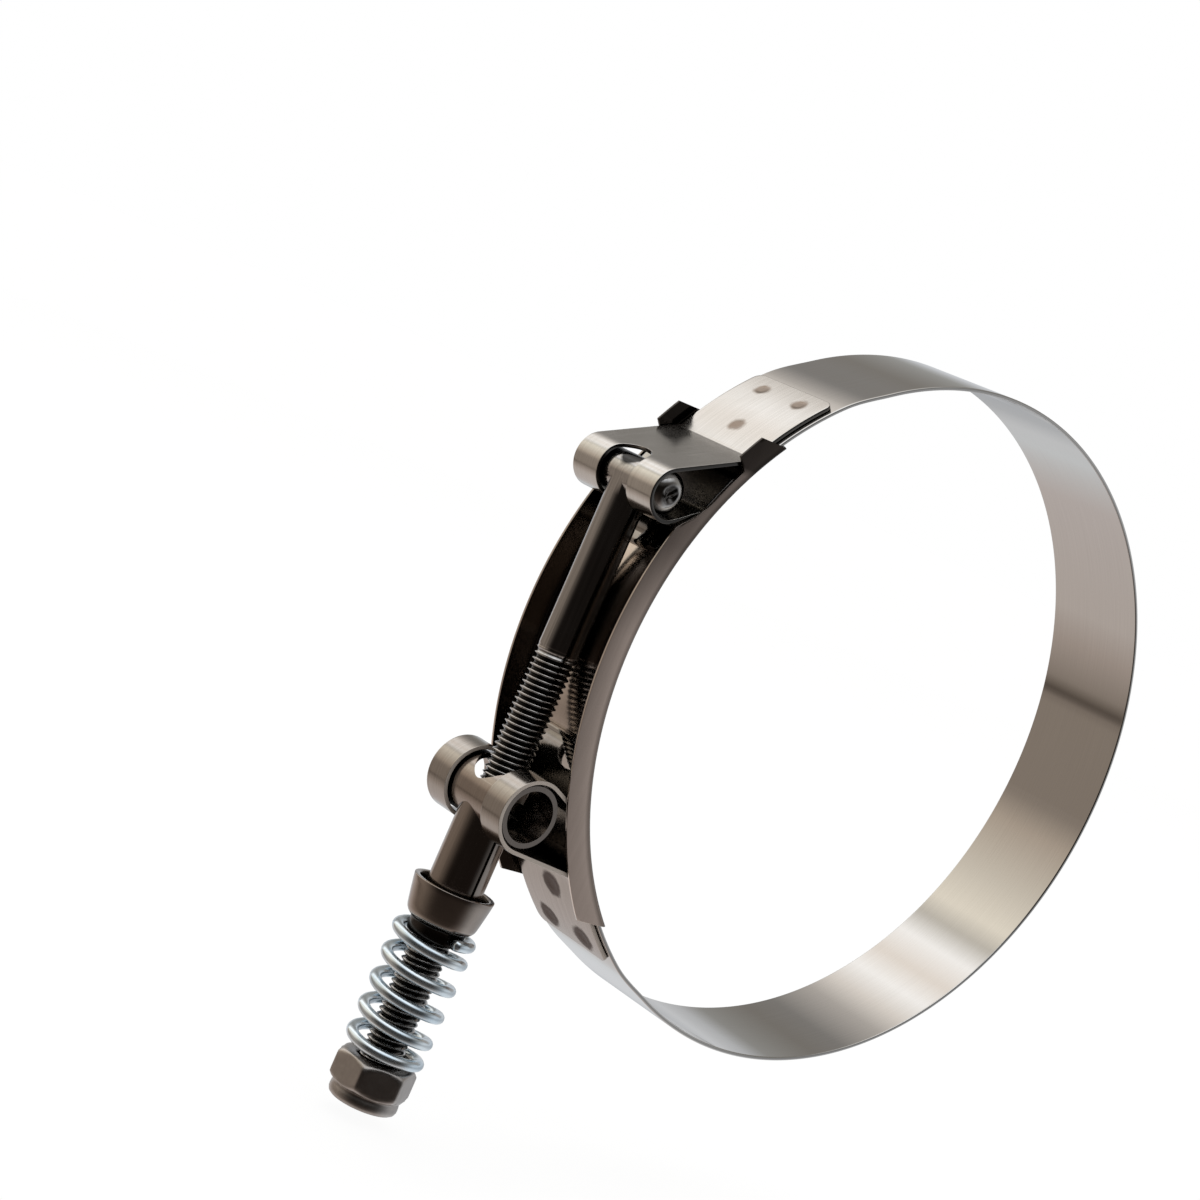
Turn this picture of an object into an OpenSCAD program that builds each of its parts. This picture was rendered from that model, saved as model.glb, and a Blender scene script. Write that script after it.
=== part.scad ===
// Spring-loaded T-bolt hose clamp, in millimetres.
// The origin is the centre of the ring, +Y runs along the hose, and +Z runs
// along the bolt towards its T-head. The bolt stands on the -X side.

/* [Band] */
// Bore of the ring, which is the outside diameter of the hose that it grips
bore_d = 110; // [90:0.5:140]
// Width of the band
band_w = 19; // [16:0.5:25]
// Thickness of the band
band_t = 0.6; // [0.4:0.05:0.9]
// Length of the slope where the band steps up onto the bridge
ramp_len = 4; // [3:0.5:6]
// Plain band between that slope and the end of a saddle
ramp_gap = 1.5; // [1:0.25:3]
// Band that runs past the bolt's pivot
lap_past_head = 6.7; // [5:0.1:8]
// Band that runs past the trunnion's pivot
lap_past_trunnion = 8.9; // [7:0.1:10]

/* [Bolt] */
// Diameter of the bolt and of its cross bar, a quarter inch
bolt_d = 6.35; // [5:0.05:7]
// Height of the cross bar above the ring's centre
head_z = 22.3; // [20:0.1:26]
// Free space between the bolt and the bridge below it
bolt_gap = 0.2; // [0.15:0.05:1]
// Bolt that stands out past the nut
bolt_past_nut = 0.2; // [0:0.1:6]
// Depth of the hollow in each end of the cross bar
bar_hollow = 0.7; // [0.3:0.1:1.2]

/* [Saddles] */
// Thickness of the saddle straps
strap_t = 0.6; // [0.5:0.05:0.8]
// Distance along the band from a pivot to the bend in its strap
strap_reach = 12.6; // [11:0.1:15]
// Length of strap welded flat on the band
tail_len = 16; // [13:0.5:19]
// How much narrower than the band that welded length is
tail_narrower = 1.6; // [1:0.1:3]
// Corner radius of the welded end
tail_corner = 1.4; // [1:0.1:4]
// Distance along the band from a pivot to where the strap comes back on it
return_reach = 1.8; // [1:0.1:2.5]
// Length of the strap's other end, flat on the band under the bend
return_len = 6.5; // [5:0.1:7]
// Diameter of a spot weld's dent
weld_d = 2.6; // [2:0.1:3]
// Depth of a spot weld's dent
weld_depth = 0.15; // [0.05:0.05:0.3]
// Distance of the outer welds from the strap's end
weld_end = 3.1; // [2.5:0.1:4]
// Distance of the inner weld from the strap's end
weld_inner = 11.5; // [8:0.1:12]
// Distance between the two outer welds across the band
weld_apart = 8.6; // [6:0.1:10]

/* [Bridge] */
// Thickness of the bridge
bridge_t = 0.4; // [0.3:0.05:0.6]
// Height of its side walls from the bore
wall_h = 4.4; // [3.6:0.1:5]
// Height of those walls in the notch at the bolt's saddle
notch_h = 1.8; // [1.2:0.1:2.4]
// Length of the bridge past each pivot, along the bolt
bridge_past = 12.6; // [11:0.1:14]
// Start of the notch below the cross bar
notch_below = 3.9; // [3:0.1:5]
// End of the notch above the cross bar, where the ears begin
notch_above = 8.9; // [7:0.1:10]

/* [Trunnion] */
// Depth of the trunnion's cross tube below the ring's centre
trunnion_z = 28.1; // [26:0.1:32]
// Diameter of the cross tube
tube_d = 9.6; // [9:0.1:11]
// Thickness of the sheet that the trunnion is rolled from
trunnion_wall = 0.8; // [0.6:0.05:1]
// Length of the leg below the cross tube's centre
leg_len = 19.9; // [17:0.1:26]
// Extra radius of the hole where the bolt enters the cross tube
mouth_extra = 1; // [0.2:0.1:1.2]
// Width of the seam along each side of the leg
seam_w = 0.5; // [0.3:0.05:0.8]
// Depth of that seam
seam_depth = 0.3; // [0.1:0.05:0.4]

/* [Spring and cup] */
// Diameter of the cup at its rim
cup_rim_d = 12.7; // [12:0.1:14]
// Diameter of the cup at its base
cup_base_d = 10.9; // [10.4:0.1:12]
// Height of the cup
cup_h = 6; // [5:0.1:8]
// Thickness of the cup
cup_t = 0.9; // [0.6:0.05:1.1]
// Length of the neck that centres the spring
neck_len = 2.2; // [1:0.1:3]
// Outside diameter of the spring
spring_od = 12.8; // [12:0.1:14]
// Diameter of the spring wire
wire_d = 1.8; // [1.5:0.05:2]
// Length of the relaxed spring
spring_len = 21.6; // [18:0.1:28]
// Turns of the spring from end to end
spring_turns = 5.35; // [5:0.05:6]
// Turns laid close together at the cup
top_close = 0.7; // [0.3:0.05:1]
// Turns laid close together at the nut
low_close = 0.6; // [0.5:0.05:1.2]
// Direction in which the wire starts under the cup, from +X towards +Y
wire_start = -95; // [-180:5:180]

/* [Nut] */
// Width of the nut across its flats, seven sixteenths of an inch
nut_af = 11.1; // [10:0.1:13]
// Turn of the hexagon about the bolt, as it stands at rest
hex_turn = 35; // [0:1:59]
// Height of the hexagon
hex_h = 5; // [4:0.1:7]
// Height of the round collar
collar_h = 2.2; // [1.5:0.1:3]
// Diameter of the collar
collar_d = 10.8; // [9.6:0.1:10.9]
// Thickness of the collar's lip over the nylon ring
lip_t = 0.6; // [0.4:0.05:0.8]
// Height of the nylon ring
insert_h = 1.8; // [1.2:0.1:2.2]

/* [Clearances] */
// Between parts that lie on each other
lay_gap = 0.1; // [0.05:0.01:0.15]
// Between a pivot and the strap round it
pivot_gap = 0.4; // [0.1:0.05:0.5]
// Between the bolt and what slides along it
slide_gap = 0.3; // [0.25:0.05:0.35]
// Between the band's edge and the bridge's side wall
side_gap = 0.3; // [0.25:0.05:0.5]
// Between a slot's side and what passes through it
slot_gap = 0.5; // [0.4:0.05:0.8]

/* [Hidden] */
$fn = 96;

// Radii about the ring's centre, from the bore outwards
bore_r = bore_d / 2;
lap_r = bore_r + bridge_t + lay_gap;
strap_r = lap_r + band_t + lay_gap;
wall_r = bore_r + wall_h;
notch_r = bore_r + notch_h;
wall_y = band_w / 2 + side_gap;

// The bolt's line and the two pivots on it
bolt_r = bolt_d / 2;
bolt_x = -(bore_r + bridge_t + bolt_gap + bolt_r);
head_angle = atan2(head_z, bolt_x);
trunnion_angle = 360 - atan2(trunnion_z, bolt_x);
bar_len = band_w - 2 * slot_gap;
guide_r = bolt_r + slide_gap;
leg_r = guide_r + trunnion_wall;
tube_r = tube_d / 2;
head_loop_r = bolt_r + pivot_gap + strap_t;
trunnion_loop_r = tube_r + pivot_gap + strap_t;

// Where the pieces follow each other down the bolt
leg_end_z = -trunnion_z - leg_len;
cup_rim_z = leg_end_z + cup_h - cup_t;
spring_top_z = leg_end_z - cup_t - lay_gap;
nut_top_z = spring_top_z - spring_len - lay_gap;
nut_end_z = nut_top_z - hex_h - collar_h;
bolt_end_z = nut_end_z - bolt_past_nut;
neck_r = spring_od / 2 - wire_d - slide_gap;
tail_w = band_w - tail_narrower;

// Facets round the spring's wire and rings in each of its turns
wire_sides = 10;
turn_rings = 28;
// Degrees of the band in each of its facets
facet = 2;
// Size of a block that is larger than the clamp
far = 2 * (bore_d + bolt_d);

// Degrees round the ring for a length along a radius
function arc(length, r) = length / r * 180 / PI;
function at(r, angle) = r * [cos(angle), sin(angle)];
function unit(v) = v / norm(v);
// Point where a line from q touches the circle round c on the given side
function touch(q, c, r, side) =
    let (v = c - q, along = sqrt(v * v - r * r))
    q + at(along, atan2(v.y, v.x) + side * asin(r / norm(v)));
// First point of the line from q along the unit vector u on the circle round the origin
function meet(q, u, r) =
    let (b = q * u)
    q + u * (-b - sqrt(b * b - q * q + r * r));

// Turns a drawing in X and Z into a solid of width w across the band
module across(w) {
    rotate([90, 0, 0]) linear_extrude(w, center = true) children();
}

// Strip of width w rolled round the Y axis, from one angle to another
module arc_strip(r, t, w, from, to) {
    rotate([90, 0, 0]) rotate([0, 0, from]) rotate_extrude(angle = to - from)
        translate([r, -w / 2]) square([t, w]);
}

// Points on an arc round c, from one angle to another
function bow(c, r, from, to, steps) =
    [for (i = [0 : steps]) c + at(r, from + (to - from) * i / steps)];
function backwards(list) = [for (i = [len(list) - 1 : -1 : 0]) list[i]];

// The band runs from its end by the trunnion, under the hose and over the top to its end by
// the bolt. Its inside starts below the bore and is then bored to the round.
module band() {
    low_lap = 360 - tail_end(360 - trunnion_angle) + arc(ramp_gap, strap_r);
    top_lap = 360 + tail_end(head_angle) - arc(ramp_gap, strap_r);
    low_end = trunnion_angle - arc(lap_past_trunnion, lap_r);
    top_end = 360 + head_angle + arc(lap_past_head, lap_r);
    ramp = arc(ramp_len, bore_r);
    stock = bore_r - bridge_t;
    inside = [[low_end, lap_r], [low_lap, lap_r], [low_lap + ramp, stock],
              [top_lap - ramp, stock], [top_lap, lap_r], [top_end, lap_r]];
    outside = [for (p = inside) [p.x, max(p.y, bore_r) + band_t]];
    angles = [for (k = [0 : len(inside) - 2]) let (from = inside[k].x, to = inside[k + 1].x,
                                                   n = ceil((to - from) / facet))
        for (i = [k == 0 ? 0 : 1 : n]) from + (to - from) * i / n];
    color("silver") difference() {
        across(band_w)
            polygon(concat([for (a = angles) at(lookup(a, inside), a)],
                           backwards([for (a = angles) at(lookup(a, outside), a)])));
        rotate([90, 0, 0]) cylinder(h = 2 * band_w, r = bore_r, center = true, $fn = 360);
    }
}

// Angles of a strap's bend and of its welded end, for a pivot above the centre
function bend_angle(pivot_angle) = pivot_angle - arc(strap_reach, strap_r);
function tail_end(pivot_angle) = bend_angle(pivot_angle) - arc(tail_len, strap_r);

// Outline of a strap seen along the hose: the welded tail, the plate, the loop round the
// pivot and the end that comes back on the band, first outside and then inside
function strap_outline(pivot, loop_r) =
    let (angle = atan2(pivot.y, pivot.x), bend = bend_angle(angle), end = tail_end(angle),
         back = angle - arc(return_reach, strap_r), back_end = back - arc(return_len, strap_r),
         bend_out = at(strap_r + strap_t, bend), back_out = at(strap_r, back),
         top_out = touch(bend_out, pivot, loop_r, -1), low_out = touch(back_out, pivot, loop_r, 1),
         top_n = unit(top_out - pivot), low_n = unit(low_out - pivot),
         top_angle = atan2(top_n.y, top_n.x), low_angle = 360 + atan2(low_n.y, low_n.x),
         bend_in = meet(top_out - strap_t * top_n, unit(bend_out - top_out), strap_r),
         back_in = meet(low_out - strap_t * low_n, unit(back_out - low_out), strap_r + strap_t),
         inner_start = atan2(back_in.y, back_in.x), inner_bend = atan2(bend_in.y, bend_in.x))
    concat(bow([0, 0], strap_r + strap_t, end, bend, 8),
           bow(pivot, loop_r, top_angle, low_angle, 40),
           bow([0, 0], strap_r, back, back_end, 4),
           bow([0, 0], strap_r + strap_t, back_end, inner_start, 4),
           bow(pivot, loop_r - strap_t, low_angle, top_angle, 40),
           bow([0, 0], strap_r, inner_bend, end, 8));

// Outline of a strap seen from outside, from its welded end: a narrow tail with two round
// corners, then the full width from the bend on
module plan_outline() {
    half = tail_w / 2 - tail_corner;
    full = strap_r * sin(arc(tail_len, strap_r));
    translate([tail_corner, -tail_w / 2]) square([tail_len, tail_w]);
    translate([0, -half]) square([tail_len, 2 * half]);
    translate([full, -band_w]) square([far, 2 * band_w]);
    for (side = [-1, 1])
        translate([tail_corner, side * half]) circle(tail_corner);
}

// Strap folded round a pivot that stands above the ring's centre.
// The slot lets what hangs from the pivot pass: it runs plate_slot past the
// pivot on the side of the plate and return_slot past it on the other side.
module saddle(pivot, loop_r, slot_w, plate_slot, return_slot) {
    end = tail_end(atan2(pivot.y, pivot.x));
    difference() {
        intersection() {
            across(band_w) polygon(strap_outline(pivot, loop_r));
            rotate([0, -end, 0]) rotate([0, 90, 0]) rotate([0, 0, 180]) linear_extrude(far) plan_outline();
        }
        translate([pivot.x - far, -slot_w / 2, 0]) cube([far + return_slot, slot_w, pivot.y]);
        translate([pivot.x - far, -slot_w / 2, pivot.y]) cube([far + plate_slot - slot_w / 2, slot_w, far]);
        translate([pivot.x + plate_slot - slot_w / 2, 0, pivot.y]) cylinder(h = far, d = slot_w);
        for (place = [[weld_end, weld_apart / 2], [weld_end, -weld_apart / 2], [weld_inner, 0]])
            rotate([0, -end - arc(place.x, strap_r), 0])
                translate([strap_r + strap_t - weld_depth, place.y, 0])
                    rotate([0, 90, 0]) cylinder(h = strap_t, d = weld_d);
    }
}

module bolt_saddle() {
    color("gainsboro")
        saddle([bolt_x, head_z], head_loop_r, bolt_d + 2 * slot_gap, slot_gap / 2, bolt_r + 2 * slot_gap);
}

module trunnion_saddle() {
    color("lightgray") mirror([0, 0, 1])
        saddle([bolt_x, trunnion_z], trunnion_loop_r, 2 * (leg_r + slot_gap),
               leg_r + 3 * slot_gap, bolt_r + 2 * slot_gap);
}

// The bridge's section stands on the bore: a floor with a wall along each side
module bridge() {
    low_z = -trunnion_z - bridge_past;
    top_z = head_z + bridge_past;
    wall_end = wall_y + bridge_t;
    color("dimgray") intersection() {
        difference() {
            union() {
                arc_strip(bore_r, bridge_t, 2 * wall_end, 90, 270);
                for (side = [-1, 1])
                    translate([0, side * (wall_y + bridge_t / 2), 0])
                        arc_strip(bore_r, wall_h, bridge_t, 90, 270);
            }
            translate([-far, -far / 2, head_z - notch_below])
                intersection() {
                    cube([far, far, notch_below + notch_above]);
                    translate([far, far / 2, notch_below - head_z])
                        arc_strip(notch_r, far, far, 90, 180);
                }
        }
        translate([-far, -far / 2, low_z]) cube([far, far, top_z - low_z]);
    }
}

module t_bolt() {
    color("dimgray") translate([bolt_x, 0, 0]) {
        translate([0, 0, bolt_end_z]) cylinder(h = head_z - bolt_end_z, r = bolt_r);
        translate([0, 0, head_z]) rotate([90, 0, 0]) difference() {
            cylinder(h = bar_len, r = bolt_r, center = true);
            for (side = [-1, 1])
                translate([0, 0, side * bar_len / 2])
                    cylinder(h = 2 * bar_hollow, r1 = side < 0 ? bolt_r - strap_t : bolt_r - 2 * strap_t,
                             r2 = side < 0 ? bolt_r - 2 * strap_t : bolt_r - strap_t, center = true);
        }
    }
}

module trunnion() {
    color("slategray") translate([bolt_x, 0, -trunnion_z]) difference() {
        union() {
            rotate([90, 0, 0]) cylinder(h = bar_len, r = tube_r, center = true);
            translate([0, 0, -leg_len]) cylinder(h = leg_len, r = leg_r);
        }
        rotate([90, 0, 0]) cylinder(h = far, r = tube_r - trunnion_wall, center = true);
        translate([0, 0, -far]) cylinder(h = far, r = guide_r);
        cylinder(h = far, r = guide_r + mouth_extra);
        for (side = [-1, 1])
            translate([-seam_w / 2, side * (leg_r - seam_depth + far / 2) - far / 2, -leg_len - far])
                cube([seam_w, far, far + leg_len - tube_r - strap_t]);
    }
}

module spring_cup() {
    hole_r = guide_r;
    floor_z = 0;
    color("dimgray") translate([bolt_x, 0, leg_end_z]) rotate_extrude()
        polygon([[hole_r, floor_z], [leg_r + slide_gap, floor_z],
                 [cup_rim_d / 2 - cup_t, cup_h - cup_t], [cup_rim_d / 2, cup_h - cup_t],
                 [cup_base_d / 2, floor_z], [cup_base_d / 2 - cup_t, -cup_t],
                 [neck_r, -cup_t], [neck_r, -cup_t - neck_len], [hole_r, -cup_t - neck_len]]);
}

// Drop of the wire's centre after t turns: close turns at both ends, even pitch between
end_pitch = wire_d + lay_gap;
open_end = spring_turns - low_close;
open_pitch = (spring_len - wire_d - (top_close + low_close) * end_pitch) / (open_end - top_close);
function drop(t) =
    t < top_close ? t * end_pitch
    : t < open_end ? top_close * end_pitch + (t - top_close) * open_pitch
    : spring_len - wire_d - (spring_turns - t) * end_pitch;

module spring() {
    mean_r = (spring_od - wire_d) / 2;
    rings = round(turn_rings * spring_turns);
    points = [for (i = [0 : rings]) let (t = spring_turns * i / rings, turn = wire_start + 360 * t)
        for (k = [0 : wire_sides - 1]) let (side = 360 * k / wire_sides,
                                            r = mean_r + wire_d / 2 * cos(side))
            [r * cos(turn), r * sin(turn), -drop(t) - wire_d / 2 + wire_d / 2 * sin(side)]];
    skin = [for (i = [0 : rings - 1]) for (k = [0 : wire_sides - 1])
        let (n = (k + 1) % wire_sides, a = i * wire_sides, b = a + wire_sides)
            [a + k, b + k, b + n, a + n]];
    first = [for (k = [0 : wire_sides - 1]) k];
    last = [for (k = [0 : wire_sides - 1]) (rings + 1) * wire_sides - 1 - k];
    color("lightsteelblue") translate([bolt_x, 0, spring_top_z]) polyhedron(points, concat([first, last], skin));
}

// A round blank with sloped edges trims the hexagon's corners
module lock_nut() {
    corner_r = nut_af / 2 / cos(30);
    insert_z = lip_t;
    hex_z = collar_h;
    mid_z = collar_h + hex_h / 2;
    top_z = collar_h + hex_h;
    face_r = 0.95 * nut_af / 2;
    chamfer = 0.6 * (corner_r - face_r);
    insert_r = collar_d / 2 - lip_t;
    color("gray") translate([bolt_x, 0, nut_end_z]) {
        difference() {
            union() {
                intersection() {
                    translate([0, 0, hex_z]) rotate([0, 0, hex_turn]) cylinder(h = hex_h, r = corner_r, $fn = 6);
                    rotate_extrude() polygon([[0, hex_z], [face_r, hex_z], [corner_r + chamfer, hex_z + 1.6 * chamfer],
                                              [corner_r + chamfer, top_z - 1.6 * chamfer], [face_r, top_z],
                                              [0, top_z]]);
                }
                rotate_extrude() polygon([[0, 0], [collar_d / 2 - lip_t, 0], [collar_d / 2, lip_t],
                                          [collar_d / 2, mid_z], [0, mid_z]]);
            }
            translate([0, 0, insert_z]) cylinder(h = insert_h, r = insert_r);
            translate([0, 0, -far / 2]) cylinder(h = far, r = guide_r);
        }
    }
}

module nut_insert() {
    color("white") translate([bolt_x, 0, nut_end_z + lip_t]) difference() {
        cylinder(h = insert_h, r = collar_d / 2 - lip_t);
        translate([0, 0, -far / 2]) cylinder(h = far, r = guide_r);
    }
}

band();
bridge();
bolt_saddle();
trunnion_saddle();
t_bolt();
trunnion();
spring_cup();
spring();
lock_nut();
nut_insert();
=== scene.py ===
import math

import bmesh
import bpy
from mathutils import Matrix, Vector


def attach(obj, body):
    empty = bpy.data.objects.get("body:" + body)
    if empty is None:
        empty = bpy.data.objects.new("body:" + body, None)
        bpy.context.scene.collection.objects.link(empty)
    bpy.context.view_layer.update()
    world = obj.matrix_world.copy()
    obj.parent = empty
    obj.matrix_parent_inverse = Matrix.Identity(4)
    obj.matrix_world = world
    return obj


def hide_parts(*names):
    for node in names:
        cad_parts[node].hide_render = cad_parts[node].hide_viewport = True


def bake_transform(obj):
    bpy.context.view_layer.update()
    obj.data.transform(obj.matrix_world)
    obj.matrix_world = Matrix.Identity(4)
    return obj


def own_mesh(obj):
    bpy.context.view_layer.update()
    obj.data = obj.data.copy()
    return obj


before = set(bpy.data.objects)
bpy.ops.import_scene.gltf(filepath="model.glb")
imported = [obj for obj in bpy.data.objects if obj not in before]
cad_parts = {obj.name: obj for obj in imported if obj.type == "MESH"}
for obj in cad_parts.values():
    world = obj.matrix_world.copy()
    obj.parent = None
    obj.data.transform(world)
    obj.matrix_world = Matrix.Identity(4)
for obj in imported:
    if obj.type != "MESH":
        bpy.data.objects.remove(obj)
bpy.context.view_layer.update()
MM = 0.001

# Band: a strip of stainless steel, 19 mm wide and 0.6 mm thick, rolled to an open ring.
# Both of its ends step up over the bridge, where the straps are spot-welded on.
BORE_R = 55.0
BAND_W = 19.0
BAND_T = 0.6
BAND_EDGE = 0.18
BAND_STEPS = 400
LAP_R = 55.5
LAP_RISE = 9.0
LAP_PAST_TAIL = 1.5
LOW_END = 8.9
TOP_END = 6.7
STRAP_R = 56.2
STRAP_REACH = 12.6
TAIL_LEN = 16.0
BOLT_X = -58.775
HEAD_Z = 22.3
TRUNNION_Z = -28.1


def arc(length, radius):
    return math.degrees(length / radius)


def part_way(value, start, end):
    return max(0.0, min(1.0, (value - start) / (end - start)))


def smooth(share):
    return share * share * (3 - 2 * share)


def between(value, stops, soft=False):
    for (x0, y0), (x1, y1) in zip(stops, stops[1:]):
        if value <= x1:
            share = part_way(value, x0, x1)
            return y0 + (y1 - y0) * (smooth(share) if soft else share)
    return stops[-1][1]


def make_piece(name, vertices, faces):
    mesh = bpy.data.meshes.new(name)
    mesh.from_pydata([Vector(v) * MM for v in vertices], [], faces)
    body = bmesh.new()
    body.from_mesh(mesh)
    bmesh.ops.remove_doubles(body, verts=body.verts, dist=1e-7)
    bmesh.ops.recalc_face_normals(body, faces=body.faces)
    body.to_mesh(mesh)
    body.free()
    mesh.polygons.foreach_set("use_smooth", [True] * len(mesh.polygons))
    piece = bpy.data.objects.new(name, mesh)
    bpy.context.scene.collection.objects.link(piece)
    return piece


def keep_flats(piece):
    piece.modifiers.new("flat_faces", "WEIGHTED_NORMAL").keep_sharp = True


def ring_faces(rows, columns):
    faces = []
    for i in range(rows - 1):
        a = i * columns
        b = a + columns
        for k in range(columns):
            n = (k + 1) % columns
            faces.append((a + k, a + n, b + n, b + k))
    return faces


def end_faces(rows, columns):
    return [tuple(range(columns)), tuple(range((rows - 1) * columns, rows * columns))]


def loft(name, sections):
    rows = len(sections)
    columns = len(sections[0])
    points = [p for section in sections for p in section]
    return make_piece(name, points, ring_faces(rows, columns) + end_faces(rows, columns))


def rounded_section(thick, wide, corner):
    points = []
    for sx, sy, start in ((1, 1, 0), (-1, 1, 90), (-1, -1, 180), (1, -1, 270)):
        for step in range(4):
            a = math.radians(start + 30 * step)
            points.append((sx * (thick / 2 - corner) + corner * math.cos(a),
                           sy * (wide / 2 - corner) + corner * math.sin(a)))
    return points


head_angle = math.degrees(math.atan2(HEAD_Z, BOLT_X))
hub_angle = math.degrees(math.atan2(-TRUNNION_Z, BOLT_X))
head_bend = head_angle - arc(STRAP_REACH, STRAP_R)
hub_bend = hub_angle - arc(STRAP_REACH, STRAP_R)
top_lap = 360 + head_bend - arc(TAIL_LEN + LAP_PAST_TAIL, STRAP_R)
low_lap = 360 - hub_bend + arc(TAIL_LEN + LAP_PAST_TAIL, STRAP_R)
band_from = 360 - hub_angle - arc(LOW_END, LAP_R)
band_to = 360 + head_angle + arc(TOP_END, LAP_R)
rise = [(band_from, LAP_R), (low_lap, LAP_R), (low_lap + arc(LAP_RISE, BORE_R), BORE_R),
        (top_lap - arc(LAP_RISE, BORE_R), BORE_R), (top_lap, LAP_R), (band_to, LAP_R)]
sections = []
for i in range(BAND_STEPS + 1):
    angle = band_from + (band_to - band_from) * i / BAND_STEPS
    a = math.radians(angle)
    middle = between(angle, rise, soft=True) + BAND_T / 2
    sections.append([((middle + dr) * math.cos(a), y, (middle + dr) * math.sin(a))
                     for dr, y in rounded_section(BAND_T, BAND_W, BAND_EDGE)])
band = loft("rolled_band", sections)
keep_flats(band)


def srgb(text):
    channels = [int(text[i:i + 2], 16) / 255 for i in (1, 3, 5)]
    linear = [c / 12.92 if c <= 0.04045 else ((c + 0.055) / 1.055) ** 2.4 for c in channels]
    return (*linear, 1.0)


def add(tree, kind, links=None, **settings):
    made = tree.nodes.new(kind)
    inputs = settings.pop("inputs", {})
    for key, value in settings.items():
        setattr(made, key, value)
    for key, value in inputs.items():
        made.inputs[key].default_value = value
    for key, source in (links or {}).items():
        tree.links.new(source, made.inputs[key])
    return made


def set_ramp(ramp, stops):
    elements = ramp.color_ramp.elements
    while len(elements) > 1:
        elements.remove(elements[-1])
    elements[0].position = stops[0][0]
    elements[0].color = srgb(stops[0][1])
    for position, colour in stops[1:]:
        elements.new(position).color = srgb(colour)


def per_metre(size):
    return 1 / (size * MM)


# Every steel here has drawn lines and smudges in its gloss, and painted shade in its corners.
# The grain is the size of the lines along each axis, the ridge is their height, and the recess
# is the reach of the painted shade and the light that it leaves. Lengths are in millimetres.
SMUDGE = 5.556


def steel(name, place_in, grain, tones, rough, ridge, recess):
    material = bpy.data.materials.new(name)
    material.use_nodes = True
    tree = material.node_tree
    shader = tree.nodes["Principled BSDF"]
    shader.inputs["Metallic"].default_value = 1.0
    place = add(tree, "ShaderNodeTexCoord").outputs["Object"]
    where = place_in(tree, place) if place_in else place
    drawn = add(tree, "ShaderNodeMapping", {"Vector": where},
                inputs={"Scale": [per_metre(size) for size in grain]})
    lines = add(tree, "ShaderNodeTexNoise", {"Vector": drawn.outputs[0]},
                inputs={"Scale": 1.0, "Detail": 3.0, "Roughness": 0.6})
    cloud = add(tree, "ShaderNodeTexNoise", {"Vector": place},
                inputs={"Scale": per_metre(SMUDGE), "Detail": 4.0})
    tone = add(tree, "ShaderNodeValToRGB", {"Fac": lines.outputs["Fac"]})
    set_ramp(tone, [(0.3, tones[0]), (0.7, tones[1])])
    # Painted shade: ambient occlusion darkens the colour in corners and recesses.
    open_sky = add(tree, "ShaderNodeAmbientOcclusion", samples=8, inputs={"Distance": recess[0] * MM})
    light = add(tree, "ShaderNodeMapRange", {"Value": open_sky.outputs["AO"]},
                inputs={"From Min": 0.2, "From Max": 0.6, "To Min": recess[1], "To Max": 1.0})
    tone_and_recess_shade = add(tree, "ShaderNodeMixRGB", {"Color1": tone.outputs["Color"], "Color2": light.outputs[0]},
                blend_type="MULTIPLY", inputs={"Fac": 1.0})
    tree.links.new(tone_and_recess_shade.outputs["Color"], shader.inputs["Base Color"])
    gloss = add(tree, "ShaderNodeMapRange", {"Value": cloud.outputs["Fac"]},
                inputs={"From Min": 0.3, "From Max": 0.7, "To Min": rough[0], "To Max": rough[1]})
    tree.links.new(gloss.outputs[0], shader.inputs["Roughness"])
    raised = add(tree, "ShaderNodeBump", {"Height": lines.outputs["Fac"]},
                 inputs={"Strength": 0.2, "Distance": ridge * MM})
    tree.links.new(raised.outputs[0], shader.inputs["Normal"])
    return material, tree, shader, place, tone_and_recess_shade


def round_the_ring(tree, place):
    parts = add(tree, "ShaderNodeSeparateXYZ", {0: place})
    turn = add(tree, "ShaderNodeMath", {0: parts.outputs["Z"], 1: parts.outputs["X"]}, operation="ARCTAN2")
    around = add(tree, "ShaderNodeMath", {0: turn.outputs[0]}, operation="MULTIPLY", inputs={1: BORE_R * MM})
    return add(tree, "ShaderNodeCombineXYZ", {"X": around.outputs[0], "Y": parts.outputs["Y"]}).outputs[0]


# Cold-rolled stainless strip: bright and nearly a mirror along the roll, with fine rolling
# lines that run round the ring. The lines are drawn 0.25 mm apart so that they show.
band_steel = steel("cold_rolled_stainless_strip", round_the_ring, (BORE_R / 3, 0.25, 1.0),
                   ("#c6c3bf", "#cbc8c4"), (0.035, 0.065), 0.002, (4.0, 0.5))[0]
band.data.materials.append(band_steel)
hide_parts("band")
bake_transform(band)

# Bridge: a channel pressed from 0.4 mm stainless strip that closes the gap under the bolt.
# Its side walls keep the band in line. They dip beside the bolt's saddle, between slanted
# sides, and end in two ears.
BRIDGE_T = 0.4
BRIDGE_EDGE = 0.09
BRIDGE_REACH = 12.6
BAND_GAP = 0.3
FOLD_R = 0.45
WALL_H = 4.4
WALL_BOW = 0.05
NOTCH_H = 1.8
NOTCH_BELOW = 3.9
NOTCH_ABOVE = 8.9
WALL_Y = BAND_W / 2 + BAND_GAP + BRIDGE_T / 2
WALL_TOP = BORE_R + WALL_H
NOTCH_TOP = BORE_R + NOTCH_H
DIP_TOP = NOTCH_TOP + 0.15
bridge_low = TRUNNION_Z - BRIDGE_REACH
bridge_top = HEAD_Z + BRIDGE_REACH
notch_low = HEAD_Z - NOTCH_BELOW
notch_high = HEAD_Z + NOTCH_ABOVE
floor_r = BORE_R + BRIDGE_T / 2


def on_bridge(r, y, z):
    return (-math.sqrt(r * r - z * z), y, z)


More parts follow.
